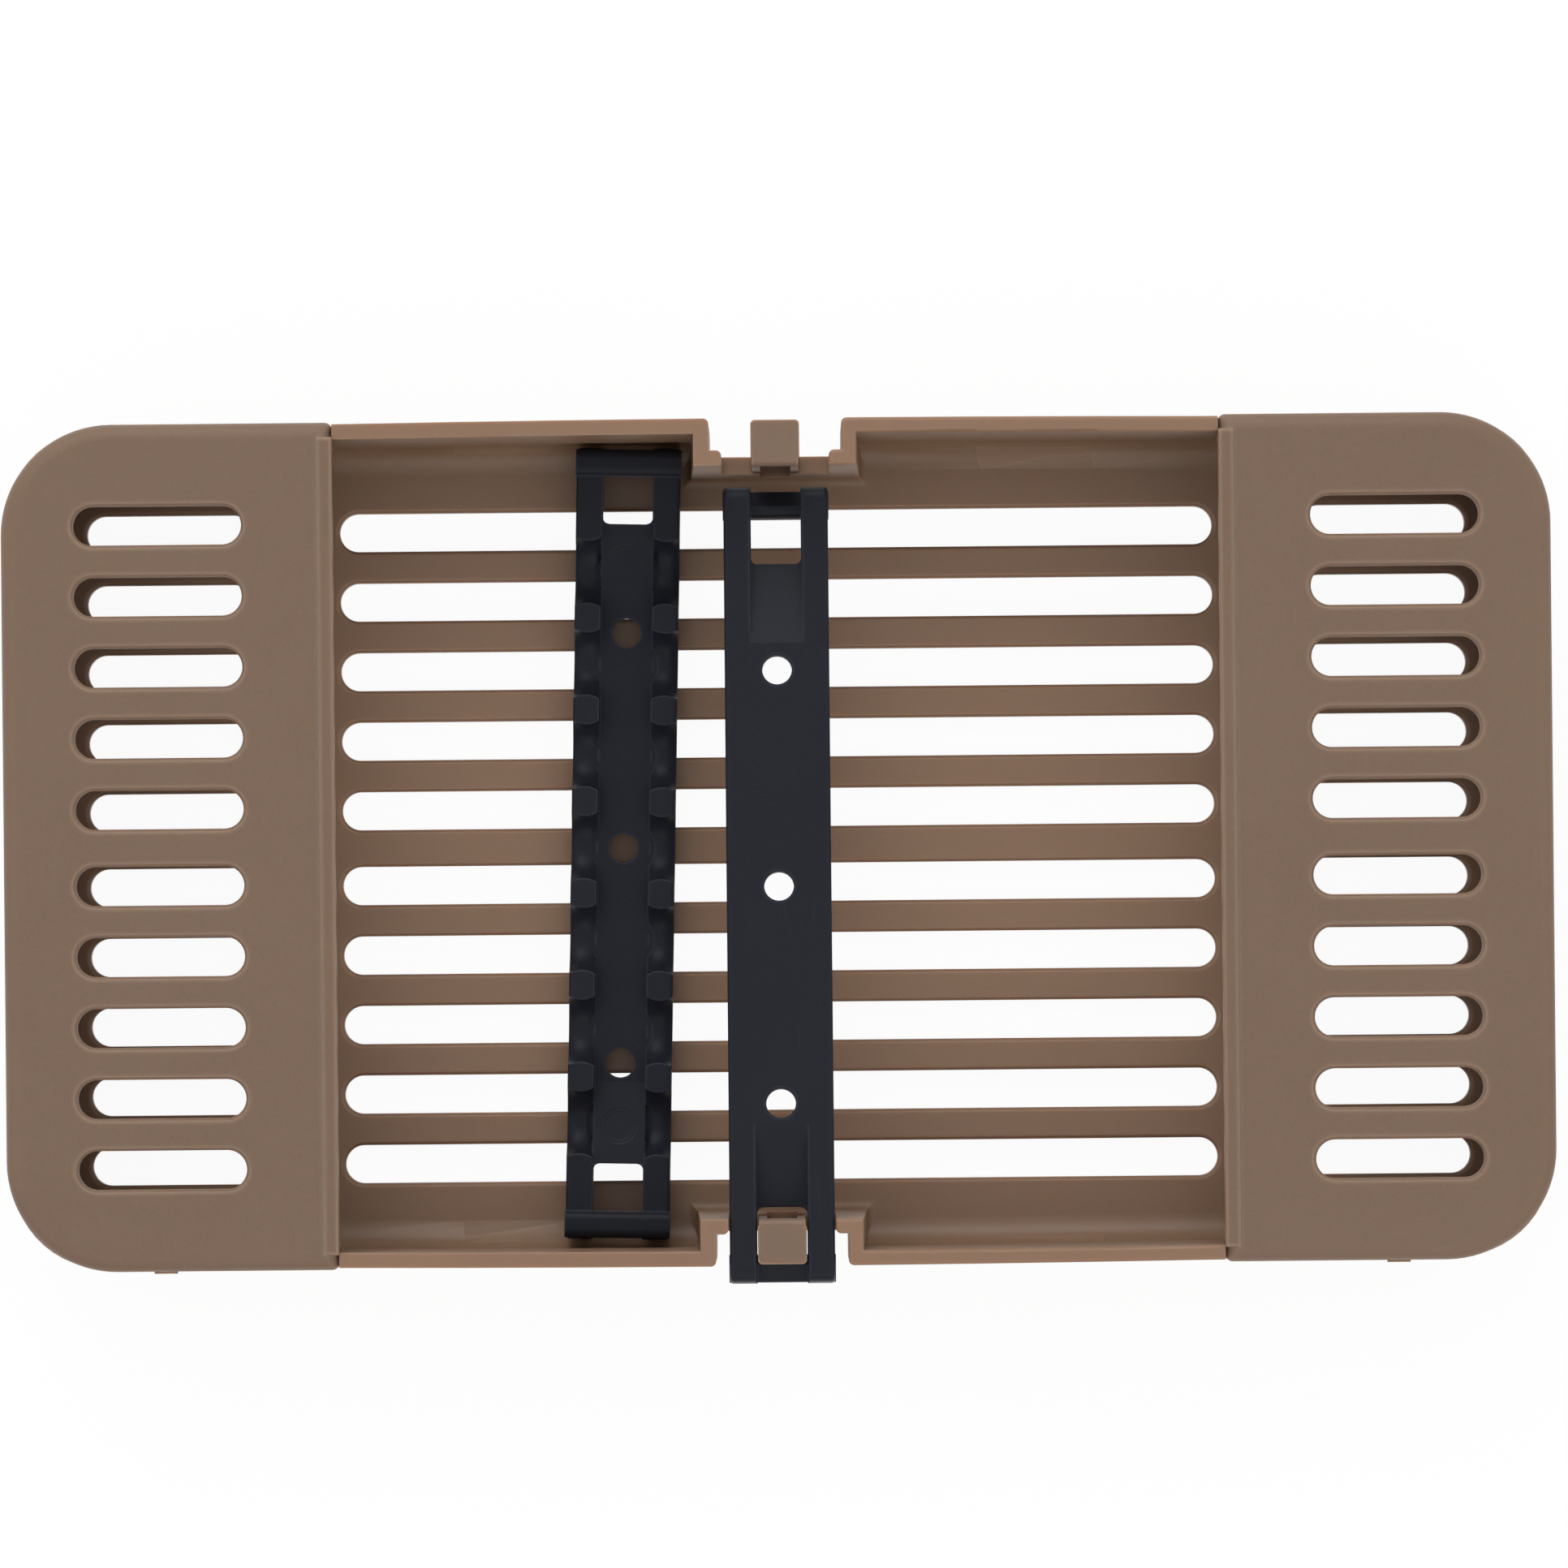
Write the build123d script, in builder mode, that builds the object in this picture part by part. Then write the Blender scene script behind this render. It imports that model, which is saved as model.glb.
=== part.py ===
from build123d import *
import math
import os

# Instrument cassette, in millimetres.
# +X runs along the length, +Y to the rear, +Z up; the origin is the middle of the underside.
# A slotted tray carries a covered cup at each end for the instrument tips. Two identical
# rails hold the handles: each end of a rail has a crossbar, which hooks under the head of
# a springy latch that stands in a recess in the long wall.

# --- tray and covers -----------------------------------------------------------------
cassette_length = 203.2
cassette_width = 111.1
cassette_height = 28.6
cover_overhang = 0.3            # the covers stand this far outside the tray's walls
rim_drop = 0.7                  # the open rim lies this far below the cassette's top
wall_thickness = 2.0
floor_thickness = 2.2
tray_corner_radius = 12.5
underside_edge_radius = 5.5
floor_fillet_radius = 3.5
wall_bow = 0.3                  # the long walls bow out this far between the covers
rim_edge_radius = 0.4

cup_depth = 43.55               # how far a cover reaches in from the end of the cassette
cover_height = 6.0              # from the seam with the tray to the cassette's top
cover_thickness = 2.2
cover_corner_radius = 14.5
cover_edge_radius = 2.0
cover_side_end_radius = 1.0
cover_lip_width = 2.0           # raised lip along the cover's inner edge
cover_lip_rise = 0.3
cover_lip_edge_radius = 0.25
locating_lip_thickness = 1.0
locating_lip_depth = 1.2
locating_lip_clearance = 0.1
gate_mark_x = 81.0
gate_mark_width = 3.0
gate_mark_height = 1.5
gate_mark_stand = 0.35

# --- slots, in the same rows in the floor and in the covers ---------------------------
slots_per_half = 5
slot_pitch = 9.3
middle_slot_pitch = 10.0
slot_width = 5.1
cup_slot_length = 22.1
cup_slot_from_end = 9.5
well_slot_tuck = 0.25           # the long slots end this far under the covers
slot_edge_chamfer = 0.4

# --- recess in each long wall, with its latch -----------------------------------------
recess_width = 17.4
recess_depth = 4.2
recess_corner_radius = 0.7
block_draft = 1.3               # degrees that the walls of a recess lean, seen from the well
block_foot_radius = 1.2
sill_height = 11.0              # top of the low wall between the two feet of the recess
foot_radius = 0.7

latch_width = 6.1
latch_head_width = 6.4
latch_head_reach = 3.95
latch_head_thickness = 2.2
latch_head_edge_radius = 0.8
latch_head_corner_radius = 0.6
latch_underside_radius = 0.6
latch_root_clearance = 0.05
catch_width = 4.0
catch_depth = 0.8
catch_drop = 2.6                # from the top of the latch down to its catch

# --- rails ------------------------------------------------------------------------------
rail_end_clearance = 0.65       # at each end of a rail that lies in the tray
rail_width = 13.8
rail_thickness = 5.8
rail_plate_thickness = 2.0
rail_corner_radius = 0.8
rail_edge_radius = 0.5
rail_tip_radius = 1.7
rail_side_clearance = 0.15      # on each side, in the gap between the feet of a recess
side_wall_width = 3.45
channel_clearance = 0.3         # on each side of the latch's head
window_clearance = 0.1
channel_ramp_length = 10.8
crossbar_from_tip = 0.2
crossbar_length = 3.6
crossbar_height = 3.9
crossbar_radius = 1.2
crossbar_slope_run = 2.2        # sloping lead on the crossbar's outer top edge
crossbar_slope_drop = 1.7
crossbar_overhang = 0.1
crossbar_clearance = 0.5        # under the latch's head
swing_clearance = 0.27          # between the latch's head and the far edge of the window
window_corner_radius = 0.8
rail_hole_diameter = 3.9
rail_hole_spacing = 28.65
rail_hole_chamfer = 0.2
pattern_shift = -0.5            # the holes and scallops lie this far off the rail's middle

scallop_count = 7
scallop_pitch = 12.2
scallop_radius = 4.2
scallop_depth = 3.4
scallop_flare = 0.5             # how much wider each scallop is at the faces of a wall
scallop_relief = 0.8            # how far the channel widens into each side wall

# --- how the rails lie --------------------------------------------------------------------
hook_slack = 2.85               # from the latch's stem to the hooked crossbar
upper_rail_droop = 5.5          # degrees that the free end hangs below level
lower_rail_x = -20.7
lower_rail_y = 0.2
lower_rail_yaw = 1.4            # degrees, rear end towards +X
resting_clearance = 0.3         # between the lower rail and the tray

# --- sizes worked out from these ------------------------------------------------------------
tray_length = cassette_length - 2 * cover_overhang
tray_width = cassette_width - 2 * cover_overhang
rim_height = cassette_height - rim_drop
seam_height = cassette_height - cover_height
cover_top = cassette_height - cover_lip_rise
well_half_length = cassette_length / 2 - cup_depth
cup_slot_x = cassette_length / 2 - cup_slot_from_end - cup_slot_length / 2
slot_rows = [
    side * (middle_slot_pitch / 2 + i * slot_pitch)
    for side in (-1, 1)
    for i in range(slots_per_half)
]

recess_outer_y = tray_width / 2 + wall_bow - recess_depth
recess_inner_y = recess_outer_y - wall_thickness
recess_block_width = recess_width + 2 * wall_thickness
rail_gap = rail_width + 2 * rail_side_clearance
latch_middle_y = (recess_outer_y + recess_inner_y) / 2
latch_root_radius = wall_thickness / 2

rail_length = tray_width - 2 * wall_thickness - 2 * rail_end_clearance
rail_half_length = rail_length / 2
channel_width = latch_head_width + 2 * channel_clearance
window_width = latch_head_width + 2 * window_clearance
channel_depth = latch_head_thickness + crossbar_clearance
inner_channel_width = rail_width - 2 * side_wall_width
crossbar_y = rail_half_length - crossbar_from_tip - crossbar_length / 2
crossbar_z = -(channel_depth + crossbar_height / 2)

# The hooked crossbar turns about its own middle. The window behind it is long enough for
# the latch's head, whose furthest point from that axis is on its rounded inner top edge.
pivot_y = -(recess_outer_y + hook_slack + crossbar_length / 2)
pivot_z = rim_height + crossbar_z
head_reach_y = -pivot_y - recess_inner_y - latch_head_edge_radius
head_reach_z = rim_height - pivot_z - latch_head_edge_radius
head_swing_radius = math.hypot(head_reach_y, head_reach_z) + latch_head_edge_radius
window_end_y = crossbar_y - head_swing_radius - swing_clearance
ramp_end_y = window_end_y - channel_ramp_length
far_below = -2 * rail_thickness

# The lower rail rests with its rounded tips in the rounded foot of the tray's long walls.
yaw_angle = math.radians(lower_rail_yaw)
tip_centre_y = (
    (rail_half_length - rail_tip_radius) * math.cos(yaw_angle)
    + rail_width / 2 * math.sin(yaw_angle)
    + abs(lower_rail_y)
)
fillet_centre_y = tray_width / 2 - wall_thickness - floor_fillet_radius
fillet_centre_z = floor_thickness + floor_fillet_radius
tip_run = floor_fillet_radius - rail_tip_radius - resting_clearance
tip_offset_y = max(tip_centre_y - fillet_centre_y, 0.0)
tip_rise = math.sqrt(max(tip_run**2 - tip_offset_y**2, 0.0))
lower_rail_z = max(
    fillet_centre_z - tip_rise - rail_tip_radius, floor_thickness + resting_clearance
)

os.makedirs("parts", exist_ok=True)


def tray_outline(inset):
    """Draw the tray's outline, moved in by inset, in the open sketch."""
    RectangleRounded(
        tray_length - 2 * inset, tray_width - 2 * inset, tray_corner_radius - inset
    )
    straight_y = tray_width / 2 - inset
    for side in (-1, 1):
        with BuildLine() as bowed_wall:
            ThreePointArc(
                (-well_half_length, side * straight_y),
                (0, side * (straight_y + wall_bow)),
                (well_half_length, side * straight_y),
            )
            Line((well_half_length, side * straight_y), (-well_half_length, side * straight_y))
        make_face(bowed_wall.edges())


def keep_right_cup():
    """Cut away the part of the open sketch that does not lie over the right-hand cup."""
    with Locations((well_half_length - cassette_length / 2, 0)):
        Rectangle(cassette_length, 2 * cassette_width, mode=Mode.SUBTRACT)


def chamfer_slot_edges(part, height):
    """Chamfer the rims of the slots in the face of the open part at this height."""
    slot_face = part.faces().filter_by(Axis.Z).filter_by(
        lambda face: abs(face.center().Z - height) < 0.01
    ).sort_by(SortBy.AREA)[-1]
    chamfer(
        [edge for wire in slot_face.inner_wires() for edge in wire.edges()],
        slot_edge_chamfer,
    )


# What each recess takes from the room inside: a leaning block, rounded at its foot. The
# slab that the blocks stand on is as high as the tray's floor.
with BuildPart() as recess_blocks:
    with BuildSketch():
        Rectangle(cassette_length, 2 * cassette_width)
    extrude(amount=floor_thickness)
    with BuildSketch(Plane.XY.offset(rim_height)):
        with Locations((0, tray_width / 2), (0, -tray_width / 2)):
            Rectangle(recess_block_width, tray_width - 2 * recess_inner_y)
    extrude(amount=floor_thickness - rim_height, taper=-block_draft)
    foot_lines = recess_blocks.edges().filter_by(
        lambda edge: abs(edge.center().Z - floor_thickness) < 0.01
        and abs(edge.center().X) < recess_block_width
        and abs(edge.center().Y) < cassette_width - 0.01
    )
    fillet(foot_lines, block_foot_radius)

# The room inside the walls, with a rounded foot.
with BuildPart() as well_space:
    with BuildSketch(Plane.XY.offset(floor_thickness)):
        tray_outline(wall_thickness)
    extrude(amount=rim_height)
    fillet(well_space.faces().sort_by(Axis.Z)[0].edges(), floor_fillet_radius)
    add(recess_blocks.part, mode=Mode.SUBTRACT)

# The tray: one shell with a slotted floor. Its walls are lower under the covers.
with BuildPart() as tray:
    with BuildSketch():
        tray_outline(0)
    extrude(amount=rim_height)
    fillet(tray.faces().sort_by(Axis.Z)[0].edges(), underside_edge_radius)
    add(well_space.part, mode=Mode.SUBTRACT)

    # The recesses are open to the outside from top to bottom.
    with BuildSketch():
        with Locations((0, cassette_width / 2), (0, -cassette_width / 2)):
            Rectangle(recess_width, cassette_width - 2 * recess_outer_y)
    extrude(amount=cassette_height, mode=Mode.SUBTRACT)
    recess_corners = tray.edges().filter_by(Axis.Z).filter_by(
        lambda edge: abs(abs(edge.center().X) - recess_width / 2) < 0.01
        and abs(edge.center().Y) > recess_outer_y + 0.01
    )
    fillet(recess_corners, recess_corner_radius)

    # Each recess wall has a gap for the rail's end, above a low sill.
    with BuildSketch(Plane.XY.offset(sill_height)):
        with Locations((0, latch_middle_y), (0, -latch_middle_y)):
            Rectangle(rail_gap, 1.5 * wall_thickness)
    extrude(amount=cassette_height, mode=Mode.SUBTRACT)
    foot_edges = tray.edges().filter_by(Axis.Z).filter_by(
        lambda edge: abs(abs(edge.center().X) - rail_gap / 2) < 0.01
    )
    fillet(foot_edges, foot_radius)

    # A round seat in the sill holds the root of each latch.
    with BuildSketch(Plane.YZ):
        with Locations((latch_middle_y, sill_height), (-latch_middle_y, sill_height)):
            Circle(latch_root_radius + latch_root_clearance)
    extrude(
        amount=latch_width / 2 + latch_root_clearance,
        both=True,
        mode=Mode.SUBTRACT,
    )

    # The catch of each latch runs on down the inner face of the sill.
    with BuildSketch(Plane.XY.offset(floor_thickness + floor_fillet_radius)):
        with Locations((0, recess_inner_y), (0, -recess_inner_y)):
            Rectangle(catch_width, 2 * catch_depth)
    extrude(amount=sill_height, mode=Mode.SUBTRACT)

    # The rim is rounded.
    fillet(tray.faces().sort_by(Axis.Z)[-1].edges(), rim_edge_radius)

    # The walls stop at the seam, where the covers sit on them.
    with BuildSketch(Plane.XY.offset(seam_height)):
        Rectangle(2 * cassette_length, 2 * cassette_width)
        Rectangle(2 * well_half_length, 2 * cassette_width, mode=Mode.SUBTRACT)
    extrude(amount=cassette_height, mode=Mode.SUBTRACT)

    # Long slots in the floor of the well, and short ones in each cup.
    with BuildSketch():
        with Locations(*[(0, row) for row in slot_rows]):
            SlotOverall(2 * (well_half_length + well_slot_tuck), slot_width)
        for side in (-1, 1):
            with Locations(*[(side * cup_slot_x, row) for row in slot_rows]):
                SlotOverall(cup_slot_length, slot_width)
    extrude(amount=floor_thickness, mode=Mode.SUBTRACT)
    chamfer_slot_edges(tray, floor_thickness)
tray.part.label = "tray"

# A cover: a low cap that sits on the cup's walls, with a lip that drops inside them.
with BuildPart() as right_cover:
    with BuildSketch(Plane.XY.offset(seam_height)):
        RectangleRounded(cassette_length, cassette_width, cover_corner_radius)
        keep_right_cup()
    extrude(amount=cover_top - seam_height)
    fillet(right_cover.edges().filter_by(Axis.Z).group_by(Axis.X)[0], cover_side_end_radius)
    top_edges = right_cover.faces().sort_by(Axis.Z)[-1].edges()
    fillet(top_edges.sort_by(Axis.X)[1:], cover_edge_radius)
    with BuildSketch(Plane.XY.offset(seam_height - locating_lip_depth)):
        tray_outline(wall_thickness + locating_lip_clearance)
        keep_right_cup()
    extrude(amount=locating_lip_depth + cover_thickness)
    with BuildSketch(Plane.XY.offset(seam_height - locating_lip_depth)):
        tray_outline(wall_thickness + locating_lip_clearance + locating_lip_thickness)
    extrude(
        amount=cover_top - cover_thickness - seam_height + locating_lip_depth,
        mode=Mode.SUBTRACT,
    )
    with BuildSketch(Plane.XY.offset(cassette_height)):
        with Locations((well_half_length + cover_lip_width / 2, 0)):
            Rectangle(cover_lip_width, cassette_width - 2 * cover_edge_radius)
    extrude(amount=-cover_thickness)
    fillet(right_cover.faces().sort_by(Axis.Z)[-1].edges(), cover_lip_edge_radius)
    with BuildSketch(Plane.XY.offset(cover_top)):
        with Locations(*[(cup_slot_x, row) for row in slot_rows]):
            SlotOverall(cup_slot_length, slot_width)
    extrude(amount=-2 * cover_thickness, mode=Mode.SUBTRACT)
    chamfer_slot_edges(right_cover, cover_top)
    with Locations((gate_mark_x, -cassette_width / 2, seam_height)):
        Box(
            gate_mark_width,
            2 * gate_mark_stand,
            gate_mark_height,
            align=(Align.CENTER, Align.CENTER, Align.MIN),
        )
right_cover.part.label = "right_cover"

with BuildPart() as left_cover:
    mirror(right_cover.part, about=Plane.YZ)
left_cover.part.label = "left_cover"

# A latch: an upright tongue with a head that reaches out over the rail's crossbar. The
# groove in its inner face stops under the head, where the free end of a rail comes to rest.
with BuildPart() as rear_latch:
    with BuildSketch(Plane.YZ):
        with Locations((latch_middle_y, sill_height)):
            Circle(latch_root_radius)
            Rectangle(
                wall_thickness, rim_height - sill_height, align=(Align.CENTER, Align.MIN)
            )
    extrude(amount=latch_width / 2, both=True)
    with BuildSketch(Plane.XY.offset(rim_height - latch_head_thickness)):
        with Locations((0, latch_middle_y)):
            Rectangle(
                latch_head_width,
                wall_thickness / 2 + latch_head_reach,
                align=(Align.CENTER, Align.MIN),
            )
    extrude(amount=latch_head_thickness)
    head_end = rear_latch.faces().sort_by(Axis.Y)[-1]
    fillet(head_end.edges().filter_by(Axis.Z), latch_head_corner_radius)
    inner_top_edge = rear_latch.faces().sort_by(Axis.Y)[0].edges().sort_by(Axis.Z)[-1]
    fillet(inner_top_edge, latch_head_edge_radius)
    underside_edge = rear_latch.edges().filter_by(Axis.X).filter_by(
        lambda edge: abs(edge.center().Y - recess_outer_y) < 0.01
        and edge.center().Z > sill_height + latch_head_thickness
    )
    fillet(underside_edge, latch_underside_radius)
    with BuildSketch():
        with Locations((0, recess_inner_y)):
            Rectangle(catch_width, 2 * catch_depth)
    extrude(amount=rim_height - catch_drop, mode=Mode.SUBTRACT)
rear_latch.part.label = "rear_latch"

with BuildPart() as front_latch:
    mirror(rear_latch.part, about=Plane.XZ)
front_latch.part.label = "front_latch"

# The cutter for one scallop turns about a line across the rail. It narrows to the middle
# of each side wall, so that the scallop's edges flare out towards the wall's faces.
wall_middle_x = (rail_width - side_wall_width) / 2
wall_inner_x = inner_channel_width / 2
wall_outer_x = rail_width / 2
cutter_end_x = wall_outer_x + side_wall_width
flared_radius = scallop_radius + scallop_flare
with BuildPart() as scallop_cutter:
    with BuildSketch(Plane.XZ):
        with BuildLine():
            Line((wall_inner_x, 0), (cutter_end_x, 0))
            Line((cutter_end_x, 0), (cutter_end_x, flared_radius))
            Line((cutter_end_x, flared_radius), (wall_outer_x, flared_radius))
            ThreePointArc(
                (wall_outer_x, flared_radius),
                (wall_middle_x, scallop_radius),
                (wall_inner_x, flared_radius),
            )
            Line((wall_inner_x, flared_radius), (wall_inner_x, 0))
        make_face()
    revolve(axis=Axis.X)
    mirror(about=Plane.YZ)

# A rail, back up: its back is at height zero and its length runs along Y.
scallop_rows = [
    pattern_shift + (i - (scallop_count - 1) / 2) * scallop_pitch
    for i in range(scallop_count)
]
with BuildPart() as rail:
    with BuildSketch(Plane.YZ):
        with Locations((0, -rail_thickness / 2)):
            RectangleRounded(rail_length, rail_thickness, rail_tip_radius)
    extrude(amount=rail_width / 2, both=True)
    long_edges = rail.edges().filter_by(Axis.Y).group_by(Axis.Z)[-1]
    fillet(long_edges, rail_edge_radius)

    # The channel between the side walls. Its floor dips with the ramps of the back.
    with BuildSketch(Plane.YZ):
        Polygon(
            (-window_end_y, far_below),
            (-window_end_y, -channel_depth - rail_plate_thickness),
            (-ramp_end_y, -rail_plate_thickness),
            (ramp_end_y, -rail_plate_thickness),
            (window_end_y, -channel_depth - rail_plate_thickness),
            (window_end_y, far_below),
            align=None,
        )
    extrude(amount=inner_channel_width / 2, both=True, mode=Mode.SUBTRACT)
    with BuildSketch(Plane.XY.offset(-rail_plate_thickness)):
        with Locations(*[(0, row) for row in scallop_rows]):
            Circle(inner_channel_width / 2 + scallop_relief)
        Rectangle(inner_channel_width, rail_length, mode=Mode.SUBTRACT)
    extrude(amount=-rail_thickness, mode=Mode.SUBTRACT)
    scallop_axis_z = scallop_depth - scallop_radius - rail_thickness
    with Locations(*[(0, row, scallop_axis_z) for row in scallop_rows]):
        add(scallop_cutter.part, mode=Mode.SUBTRACT)

    # At each end: a ramp and a channel in the back, a crossbar, and a window behind it.
    with BuildSketch(Plane.YZ):
        for end in (-1, 1):
            Polygon(
                (end * ramp_end_y, 0),
                (end * window_end_y, -channel_depth),
                (end * rail_length, -channel_depth),
                (end * rail_length, rail_thickness),
                (end * ramp_end_y, rail_thickness),
                align=None,
            )
    extrude(amount=channel_width / 2, both=True, mode=Mode.SUBTRACT)
    with BuildSketch():
        for end in (-1, 1):
            with Locations((0, end * (window_end_y + rail_length) / 2)):
                RectangleRounded(
                    window_width, rail_length - window_end_y, window_corner_radius
                )
    extrude(amount=-2 * rail_thickness, mode=Mode.SUBTRACT)
    crossbar_outer_y = crossbar_y + crossbar_length / 2
    with BuildSketch(Plane.YZ):
        with Locations((crossbar_y, crossbar_z)):
            RectangleRounded(crossbar_length, crossbar_height, crossbar_radius)
        Polygon(
            (crossbar_outer_y - crossbar_slope_run, -channel_depth),
            (crossbar_outer_y, -channel_depth - crossbar_slope_drop),
            (crossbar_outer_y, 0),
            (crossbar_outer_y - crossbar_slope_run, 0),
            align=None,
            mode=Mode.SUBTRACT,
        )
        mirror(about=Plane.YZ)
    extrude(amount=rail_width / 2 + crossbar_overhang, both=True)

    # Three round holes through the plate.
    with BuildSketch():
        with Locations(*[(0, pattern_shift + i * rail_hole_spacing) for i in (-1, 0, 1)]):
            Circle(rail_hole_diameter / 2)
    extrude(amount=-rail_thickness, mode=Mode.SUBTRACT)
    hole_rims = rail.faces().sort_by(Axis.Z)[-1].inner_wires()
    chamfer([edge for wire in hole_rims for edge in wire.edges()], rail_hole_chamfer)

with BuildPart() as upper_rail:
    with Locations(
        Location((0, pivot_y, pivot_z), (-upper_rail_droop, 0, 0))
        * Location((0, crossbar_y, -crossbar_z))
    ):
        add(rail.part)
upper_rail.part.label = "upper_rail"

with BuildPart() as lower_rail:
    with Locations(
        Location((lower_rail_x, lower_rail_y, lower_rail_z), (0, 0, -lower_rail_yaw))
        * Location((0, 0, 0), (0, 180, 0))
    ):
        add(rail.part)
lower_rail.part.label = "lower_rail"

export_step(tray.part, "parts/tray.step")
export_step(left_cover.part, "parts/left_cover.step")
export_step(right_cover.part, "parts/right_cover.step")
export_step(front_latch.part, "parts/front_latch.step")
export_step(rear_latch.part, "parts/rear_latch.step")
export_step(upper_rail.part, "parts/upper_rail.step")
export_step(lower_rail.part, "parts/lower_rail.step")
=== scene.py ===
import math

import bpy
import numpy as np
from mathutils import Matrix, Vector


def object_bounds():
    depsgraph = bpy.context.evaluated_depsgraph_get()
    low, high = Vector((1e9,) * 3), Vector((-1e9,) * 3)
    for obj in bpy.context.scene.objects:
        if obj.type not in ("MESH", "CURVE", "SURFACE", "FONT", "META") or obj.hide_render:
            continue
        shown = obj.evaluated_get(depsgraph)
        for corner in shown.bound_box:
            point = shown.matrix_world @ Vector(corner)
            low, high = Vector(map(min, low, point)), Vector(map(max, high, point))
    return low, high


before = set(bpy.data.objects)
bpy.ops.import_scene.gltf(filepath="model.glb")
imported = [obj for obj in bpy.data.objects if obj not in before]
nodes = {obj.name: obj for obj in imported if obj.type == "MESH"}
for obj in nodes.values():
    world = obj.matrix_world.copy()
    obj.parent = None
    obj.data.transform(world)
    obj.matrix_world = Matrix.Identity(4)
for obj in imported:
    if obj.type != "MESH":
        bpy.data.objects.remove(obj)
cad_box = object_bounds()


# Tray. One tan moulding with a slotted floor, rounded at the foot of its walls and open in
# the middle. The resin is slightly translucent, so its thin rims and slot edges look warm.

def linear(hex_colour):
    """sRGB hex to linear RGBA: c/12.92 below 0.04045, else ((c + 0.055)/1.055)^2.4."""
    c = np.array([int(hex_colour[i:i + 2], 16) for i in (1, 3, 5)]) / 255.0
    rgb = np.where(c <= 0.04045, c / 12.92, ((c + 0.055) / 1.055) ** 2.4)
    return (*rgb.tolist(), 1.0)


def add_node(tree, kind, settings=(), **inputs):
    """Adds one shader node. settings are its properties; inputs are values or sockets."""
    node = tree.nodes.new(kind)
    for name, value in dict(settings).items():
        setattr(node, name, value)
    for name, value in inputs.items():
        numbered = name[0] == "i" and name[1:].isdigit()
        key = int(name[1:]) if numbered else name.replace("_", " ")
        if isinstance(value, bpy.types.NodeSocket):
            tree.links.new(value, node.inputs[key])
        else:
            node.inputs[key].default_value = value
    return node


def maths(tree, operation, first, second=0.0):
    """One maths node; first and second are numbers or sockets."""
    return add_node(tree, "ShaderNodeMath", {"operation": operation}, i0=first,
                    i1=second).outputs[0]


def noise(tree, place, size_mm, detail, roughness=0.5, distortion=0.0):
    """Noise from 0 to 1 whose largest features are about size_mm across."""
    return add_node(tree, "ShaderNodeTexNoise", Vector=place, Scale=1000 / size_mm,
                    Detail=detail, Roughness=roughness,
                    Distortion=distortion).outputs["Fac"]


def streaks(tree, place, long_mm, fine_mm, along):
    """Noise drawn out along one axis: features long_mm long and fine_mm across."""
    scale = [1000 / fine_mm] * 3
    scale["XYZ".index(along)] = 1000 / long_mm
    drawn = add_node(tree, "ShaderNodeMapping", {"vector_type": "POINT"}, Vector=place,
                     Scale=tuple(scale))
    return noise(tree, drawn.outputs[0], 1000, detail=3.0, roughness=0.7)


def blend_colour(tree, share, first, second):
    """first where share is 0 and second where it is 1."""
    return add_node(tree, "ShaderNodeMix", {"data_type": "RGBA"}, i0=share, i6=first,
                    i7=second).outputs[2]


def ramp(tree, value, low, high, at_low=0.0, at_high=1.0):
    """at_low below low, at_high above high, and a straight line between them."""
    return add_node(tree, "ShaderNodeMapRange", {"clamp": True}, Value=value, i1=low,
                    i2=high, i3=at_low, i4=at_high).outputs[0]


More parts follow.
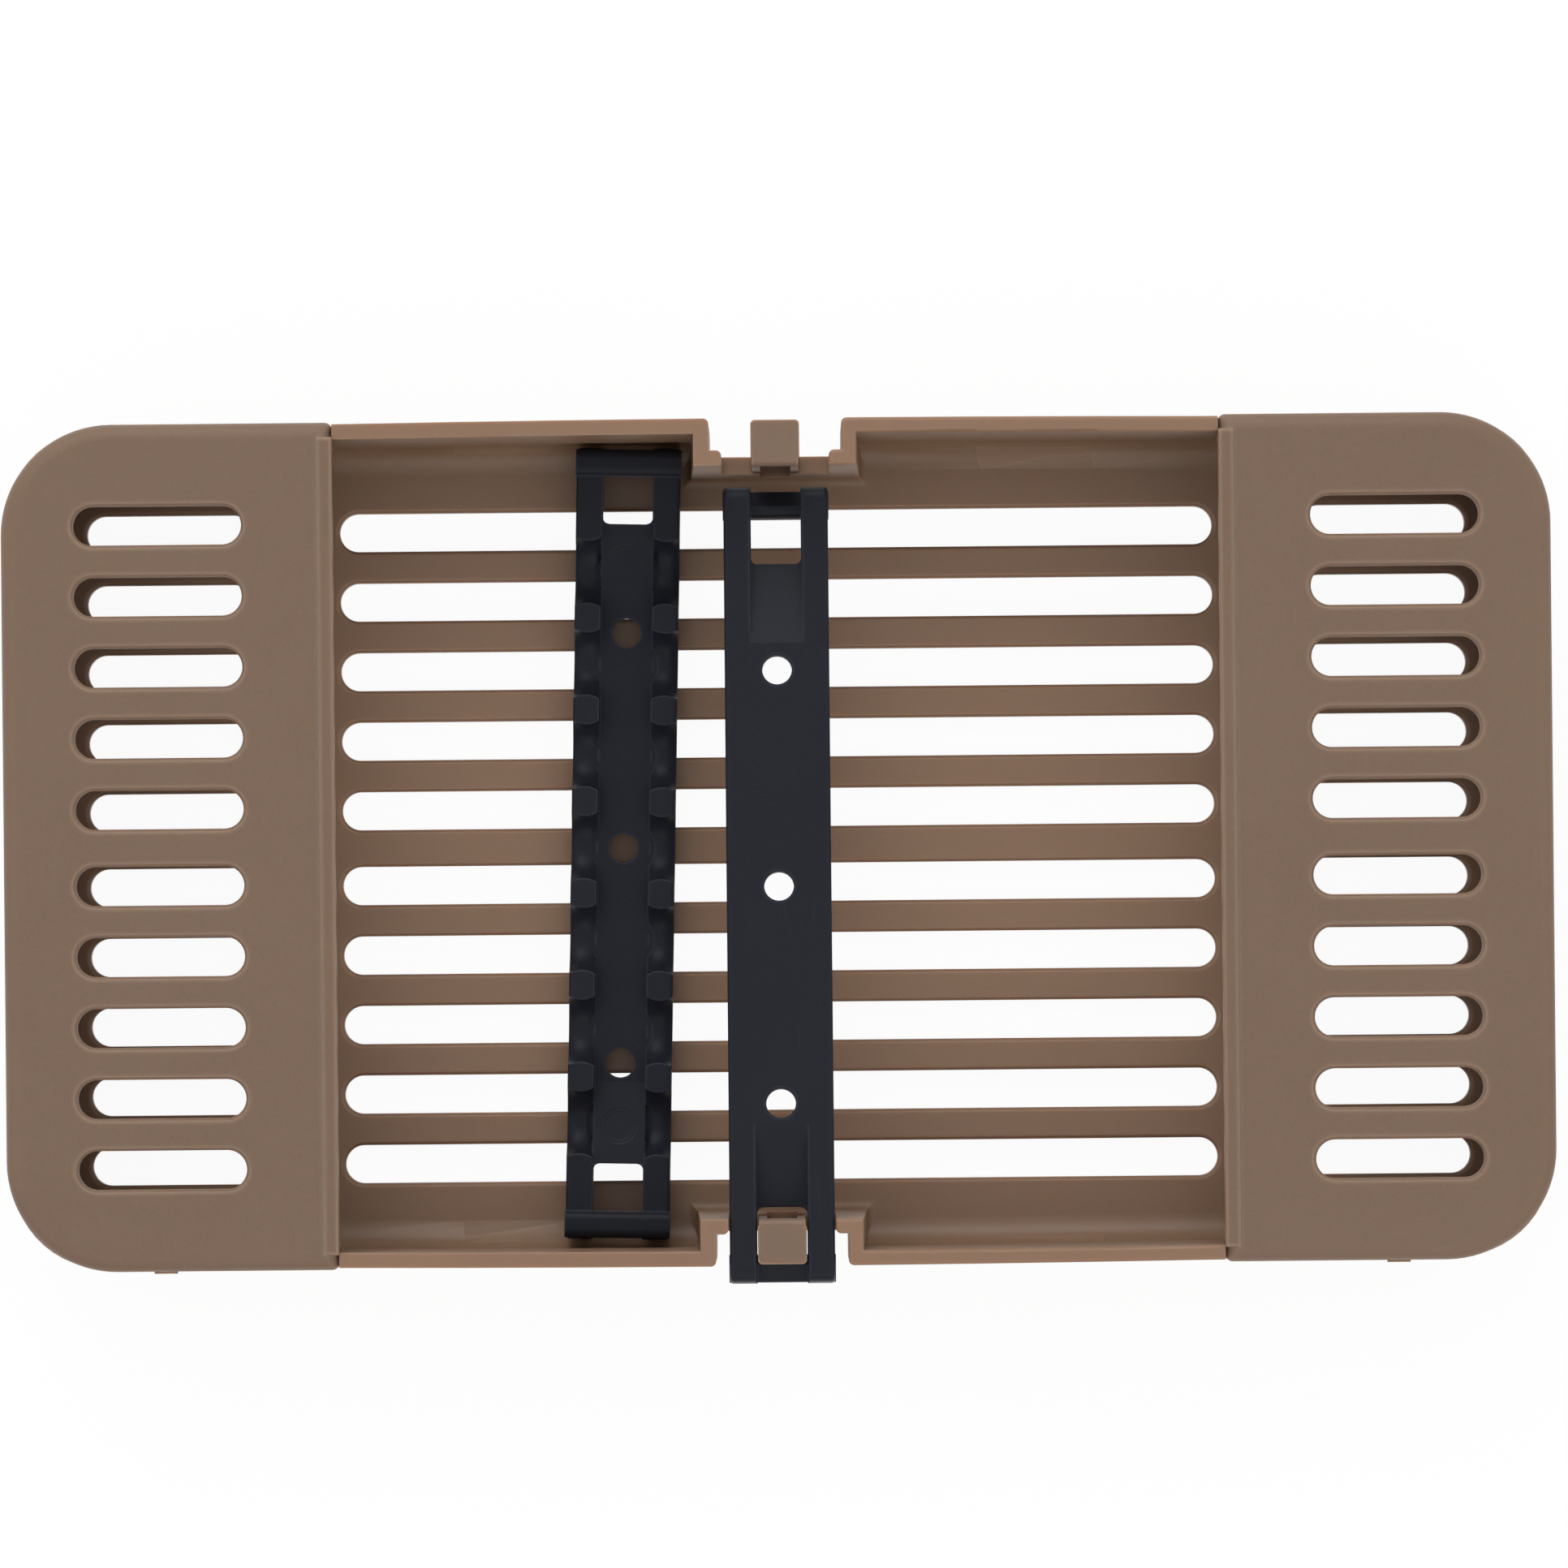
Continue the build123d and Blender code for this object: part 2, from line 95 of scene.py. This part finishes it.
def moulded_resin(name, tones, roughness, gloss, grain_mm, grain_height_mm, along,
                  edge_mm=0.4, subsurface=0.0, frame_at=(0, 0, 0), frame_turn=(0, 0, 0),
                  marks=None):
    """Injection-moulded resin with a spark-eroded grain, as one material.

    tones are the dark and light ends of the drift along the flow, the pale scuffs and a pale
    edge tone, which is a painted highlight on edges and partly wear. The bump is a sum of
    heights in millimetres: the grain, sink waves and scuffs below, and the ejector marks
    that marks(tree, place) returns. along is the axis of the scuffs and edge_mm the radius
    that light finds on sharp edges, which also sets how wide the painted edge highlight
    is. frame_at and frame_turn place the moulding's own axes, in metres and degrees.
    """
    flow_mm, sink_mm, patch_mm = 30, 14, 11
    scuff_long_mm, scuff_fine_mm = 9.0, 0.22
    sink_height_mm, scuff_depth_mm = 0.05, 0.004
    grain_share, scuff_share, edge_highlight_and_wear_share = 0.25, 0.45, 0.7

    dark, light, scuff, edge_highlight_and_wear_tone = (linear(tone) for tone in tones)
    mat = bpy.data.materials.new(name)
    mat.use_nodes = True
    tree = mat.node_tree
    tree.nodes.clear()
    place = add_node(tree, "ShaderNodeTexCoord").outputs["Object"]
    place = add_node(tree, "ShaderNodeMapping", {"vector_type": "TEXTURE"}, Vector=place,
                     Location=frame_at,
                     Rotation=tuple(math.radians(a) for a in frame_turn)).outputs[0]
    flow = noise(tree, place, flow_mm, detail=3.0, roughness=0.55, distortion=0.8)
    grain = noise(tree, place, grain_mm, detail=2.0, roughness=0.6)
    sink = noise(tree, place, sink_mm, detail=1.0)
    patch = noise(tree, place, patch_mm, detail=4.0, roughness=0.65)
    scratch = streaks(tree, place, scuff_long_mm, scuff_fine_mm, along)

    # Scuffs are fine streaks that show only in patches.
    scuffed = maths(tree, "MULTIPLY", ramp(tree, scratch, 0.56, 0.72),
                    ramp(tree, patch, 0.48, 0.66))

    # An edge is where the rounded normal leans away from the face's own. There the colour is
    # blended to the pale edge tone: a painted highlight, and partly wear.
    rounded = add_node(tree, "ShaderNodeBevel", {"samples": 4},
                       Radius=edge_mm / 1000).outputs[0]
    true_normal = add_node(tree, "ShaderNodeNewGeometry").outputs["True Normal"]
    facing = add_node(tree, "ShaderNodeVectorMath", {"operation": "DOT_PRODUCT"},
                      i0=rounded, i1=true_normal).outputs["Value"]
    edge_highlight_and_wear = ramp(tree, facing, 0.998, 0.86)

    grained = ramp(tree, grain, 0.35, 0.75)
    colour = blend_colour(tree, flow, dark, light)
    for mask, share, tone in ((grained, grain_share, scuff), (scuffed, scuff_share, scuff),
                              (edge_highlight_and_wear, edge_highlight_and_wear_share, edge_highlight_and_wear_tone)):
        colour = blend_colour(tree, maths(tree, "MULTIPLY", mask, share), colour, tone)
    rough = maths(tree, "ADD",
                  ramp(tree, grain, 0.3, 0.7, roughness - 0.05, roughness + 0.05),
                  maths(tree, "MULTIPLY", scuffed, 0.12))
    height = maths(tree, "ADD", maths(tree, "MULTIPLY", grain, grain_height_mm),
                   maths(tree, "MULTIPLY", sink, sink_height_mm))
    height = maths(tree, "SUBTRACT", height,
                   maths(tree, "MULTIPLY", scuffed, scuff_depth_mm))
    if marks:
        height = maths(tree, "ADD", height, marks(tree, place))
    bump = add_node(tree, "ShaderNodeBump", Strength=1.0, Distance=0.001, Height=height,
                    Normal=rounded).outputs[0]
    shader = add_node(tree, "ShaderNodeBsdfPrincipled", Base_Color=colour, Roughness=rough,
                      IOR=1.5, Specular_IOR_Level=gloss, Normal=bump,
                      Subsurface_Weight=subsurface, Subsurface_Scale=0.0025,
                      Subsurface_Radius=(1.0, 0.48, 0.25))
    add_node(tree, "ShaderNodeOutputMaterial", Surface=shader.outputs[0])
    return mat


def dress(names, material):
    """Gives every material slot of these CAD nodes the one material."""
    for name in names:
        node = nodes[name]
        if not node.material_slots:
            node.data.materials.append(material)
        for place in node.material_slots:
            place.material = material


# Heat-resistant thermoplastic off a spark-eroded mould: a soft matt tan with a faint warm
# glow in its thin rims, and paler edges, a painted highlight that partly stands for rubbing.
# Its tones are painted lighter than the covers' to offset the shade in the well. The real
# grain is about 0.1 mm; it is drawn three times coarser so that it shows.
dress(["tray"], moulded_resin(
    "tan_resin_moulded_matt", ("#7d624d", "#846852", "#8b705b", "#927b67"),
    roughness=0.44, gloss=0.40, grain_mm=0.32, grain_height_mm=0.010, along="X",
    subsurface=0.6))


# Covers. Two slotted caps of the same tan resin, each dropped on the walls of one cup.
# Hands and stacked cassettes scuff their tops along the cassette's width.

# The same resin, a shade more polished by handling, with fine pale scuffs in patches and a
# broad painted highlight along its rounded rim. Its grain is drawn three times coarser too.
dress(["left_cover", "right_cover"], moulded_resin(
    "tan_resin_moulded_matt_covers", ("#6f5a4c", "#766251", "#826d5b", "#9e8b7a"),
    roughness=0.48, gloss=0.26, grain_mm=0.30, grain_height_mm=0.009, along="Y",
    edge_mm=0.9, subsurface=0.75))


# Latches. Springy tongues of the tray's own moulding. The rails' crossbars have rubbed them
# smoother from root to head.

# Rubbed resin: a finer grain and a little more sheen than the matt walls beside it, and the
# same painted highlight on its edges.
dress(["front_latch", "rear_latch"], moulded_resin(
    "tan_resin_rubbed_smooth", ("#715d4f", "#786453", "#857160", "#9e8b7a"),
    roughness=0.40, gloss=0.28, grain_mm=0.22, grain_height_mm=0.004, along="Z",
    subsurface=0.75))


# Rails. Two identical charcoal mouldings in a satin resin, with scallops for the handles on
# one side and a plain back on the other. The scalloped side has two round ejector marks.

def ejector_marks(scallops_up):
    """The height in mm of two sunk discs at y = +-37.5 mm on the scalloped side.

    d = sqrt(x^2 + (|y| - 37.5)^2). The height steps up by 0.05 at d = 1.9, where the pin
    ends, and again at 2.4, where the dish round it does. scallops_up is 1 where that side
    faces up at rest and -1 where it faces down.
    """
    mark_y, channel_below, depth_mm = 0.0375, -0.0015, 0.05
    pin, dish = (0.0019, 0.00008), (0.0024, 0.0001)

    def height(tree, place):
        axes = add_node(tree, "ShaderNodeSeparateXYZ", Vector=place).outputs
        along = maths(tree, "SUBTRACT", maths(tree, "ABSOLUTE", axes["Y"]), mark_y)
        distance = maths(tree, "SQRT",
                         maths(tree, "ADD", maths(tree, "MULTIPLY", along, along),
                               maths(tree, "MULTIPLY", axes["X"], axes["X"])))
        steps = [ramp(tree, distance, radius - soft, radius + soft, -depth_mm, 0.0)
                 for radius, soft in (pin, dish)]
        normal = add_node(tree, "ShaderNodeTexCoord").outputs["Normal"]
        upward = add_node(tree, "ShaderNodeSeparateXYZ", Vector=normal).outputs["Z"]
        side = maths(tree, "GREATER_THAN", maths(tree, "MULTIPLY", upward, scallops_up),
                     0.5)
        channel = maths(tree, "LESS_THAN", axes["Z"], channel_below)
        return maths(tree, "MULTIPLY", maths(tree, "ADD", *steps),
                     maths(tree, "MULTIPLY", side, channel))
    return height


# Pigmented resin with a satin skin: nearly black and slightly blue, with thin grey lines
# along its edges that are a painted highlight. The grain of 0.08 mm is drawn three times
# coarser so that it shows.
charcoal_tones = ("#191b22", "#1d1f26", "#2a2d35", "#41434e")

# Where each rail's own middle lies in metres, how it is turned in degrees, and whether its
# scallops face up.
rail_frames = {
    "upper_rail": ((0, -0.00519, 0.02303), (-5.5, 0, 0), -1),
    "lower_rail": ((-0.0207, 0.0002, 0.0040), (0, 180, -1.4), 1),
}
for rail, (rail_at, rail_turn, scallops_up) in rail_frames.items():
    dress([rail], moulded_resin(
        "charcoal_resin_moulded_satin_" + rail, charcoal_tones, roughness=0.38, gloss=0.10,
        grain_mm=0.24, grain_height_mm=0.006, along="Y", frame_at=rail_at,
        frame_turn=rail_turn, marks=ejector_marks(scallops_up)))


# Stage. A matt white board, which the camera, mirrors and glass see as an even white with a
# faint shadow on it. To every other ray it is plain paint and gives the object no light.

def flat_square(name, half_size, z):
    """A square at height z, with x and y from -half_size to half_size."""
    corner = np.array([[-1, -1], [1, -1], [1, 1], [-1, 1]], dtype=float) * half_size
    verts = np.column_stack([corner, np.full(4, z)])
    mesh = bpy.data.meshes.new(name)
    mesh.from_pydata(verts.tolist(), [], [(0, 1, 2, 3)])
    square = bpy.data.objects.new(name, mesh)
    bpy.context.scene.collection.objects.link(square)
    return square


# Matt wall paint: no gloss, so that nothing but the soft shadow shows on it.
white_share = 0.94
board_paint = bpy.data.materials.new("white_board_paint")
board_paint.use_nodes = True
tree = board_paint.node_tree
tree.nodes.clear()
paint = add_node(tree, "ShaderNodeBsdfDiffuse", Color=linear("#f0f0ef"))
white = add_node(tree, "ShaderNodeEmission", Color=(1, 1, 1, 1), Strength=1.0)
ray = add_node(tree, "ShaderNodeLightPath").outputs
seen = maths(tree, "MAXIMUM", ray["Is Camera Ray"], ray["Is Glossy Ray"])
seen = maths(tree, "MAXIMUM", seen, ray["Is Transmission Ray"])
seen = maths(tree, "MULTIPLY", seen, white_share)
mixed = add_node(tree, "ShaderNodeMixShader", i0=seen, i1=paint.outputs[0],
                 i2=white.outputs[0])
add_node(tree, "ShaderNodeOutputMaterial", Surface=mixed.outputs[0])

board_gap = 0.0002
board = flat_square("white_board", half_size=6.0, z=cad_box[0].z - board_gap)
board.data.materials.append(board_paint)


def softbox(name, place, power, colour):
    """A square lamp, 1 m wide, at place in metres, facing the middle of the cassette."""
    data = bpy.data.lights.new(name, "AREA")
    data.shape = "SQUARE"
    data.size = 1.0
    data.energy = power
    data.color = linear(colour)[:3]
    lamp = bpy.data.objects.new(name, data)
    bpy.context.scene.collection.objects.link(lamp)
    lamp.location = place
    lamp.rotation_mode = "QUATERNION"
    lamp.rotation_quaternion = Vector(place).to_track_quat("Z", "Y")


softbox("rear_softbox", (-0.25, 1.2, 0.8), 9.0, "#ffffff")
softbox("front_softbox", (0.4, -1.2, 0.8), 3.2, "#fff8f0")
softbox("left_softbox", (-1.2, -0.1, 0.8), 0.8, "#f4f8ff")
softbox("right_softbox", (1.2, 0.1, 0.8), 0.7, "#ffffff")

# The room is dim at the horizon and brightest in a broad ring high up, which lights the
# floor of the tray. It is a little dimmer overhead, so that flat tops mirror less of it
# than rounded edges do. up is the height of the ray's direction, from 0 to 1.
world = bpy.data.worlds.new("even_white_room")
bpy.context.scene.world = world
world.use_nodes = True
tree = world.node_tree
tree.nodes.clear()
sky = add_node(tree, "ShaderNodeTexCoord").outputs["Generated"]
up = add_node(tree, "ShaderNodeSeparateXYZ", Vector=sky).outputs["Z"]
up = maths(tree, "ABSOLUTE", up)
level = maths(tree, "MULTIPLY", ramp(tree, up, 0.20, 0.50, 0.33, 1.18),
              ramp(tree, up, 0.70, 0.86, 1.0, 0.78))
room = add_node(tree, "ShaderNodeBackground", Color=(1, 1, 1, 1), Strength=level)
add_node(tree, "ShaderNodeOutputWorld", Surface=room.outputs[0])


# Camera. It looks straight down from above the front half, with its frame shifted to the
# rear, so that the outer sides of the walls stay hidden and the cassette sits mid-frame.

frame_px, focal_px = 1932, 11574
shift_right_px, shift_up_px = -9, 234
film_mm = 36.0
camera_data = bpy.data.cameras.new("overhead_camera")
camera_data.sensor_width = film_mm
camera_data.lens = focal_px / frame_px * film_mm
camera_data.shift_x = shift_right_px / frame_px
camera_data.shift_y = shift_up_px / frame_px
camera_data.clip_start = 0.1
camera_data.clip_end = 20.0
camera = bpy.data.objects.new("overhead_camera", camera_data)
rim_height, camera_above_rim = 0.0279, 1.230
camera.location = (0.0015, -0.0173, rim_height + camera_above_rim)
camera.rotation_euler = (0, 0, math.radians(-0.55))
bpy.context.scene.collection.objects.link(camera)
bpy.context.scene.camera = camera

bpy.context.scene.view_settings.view_transform = "Standard"
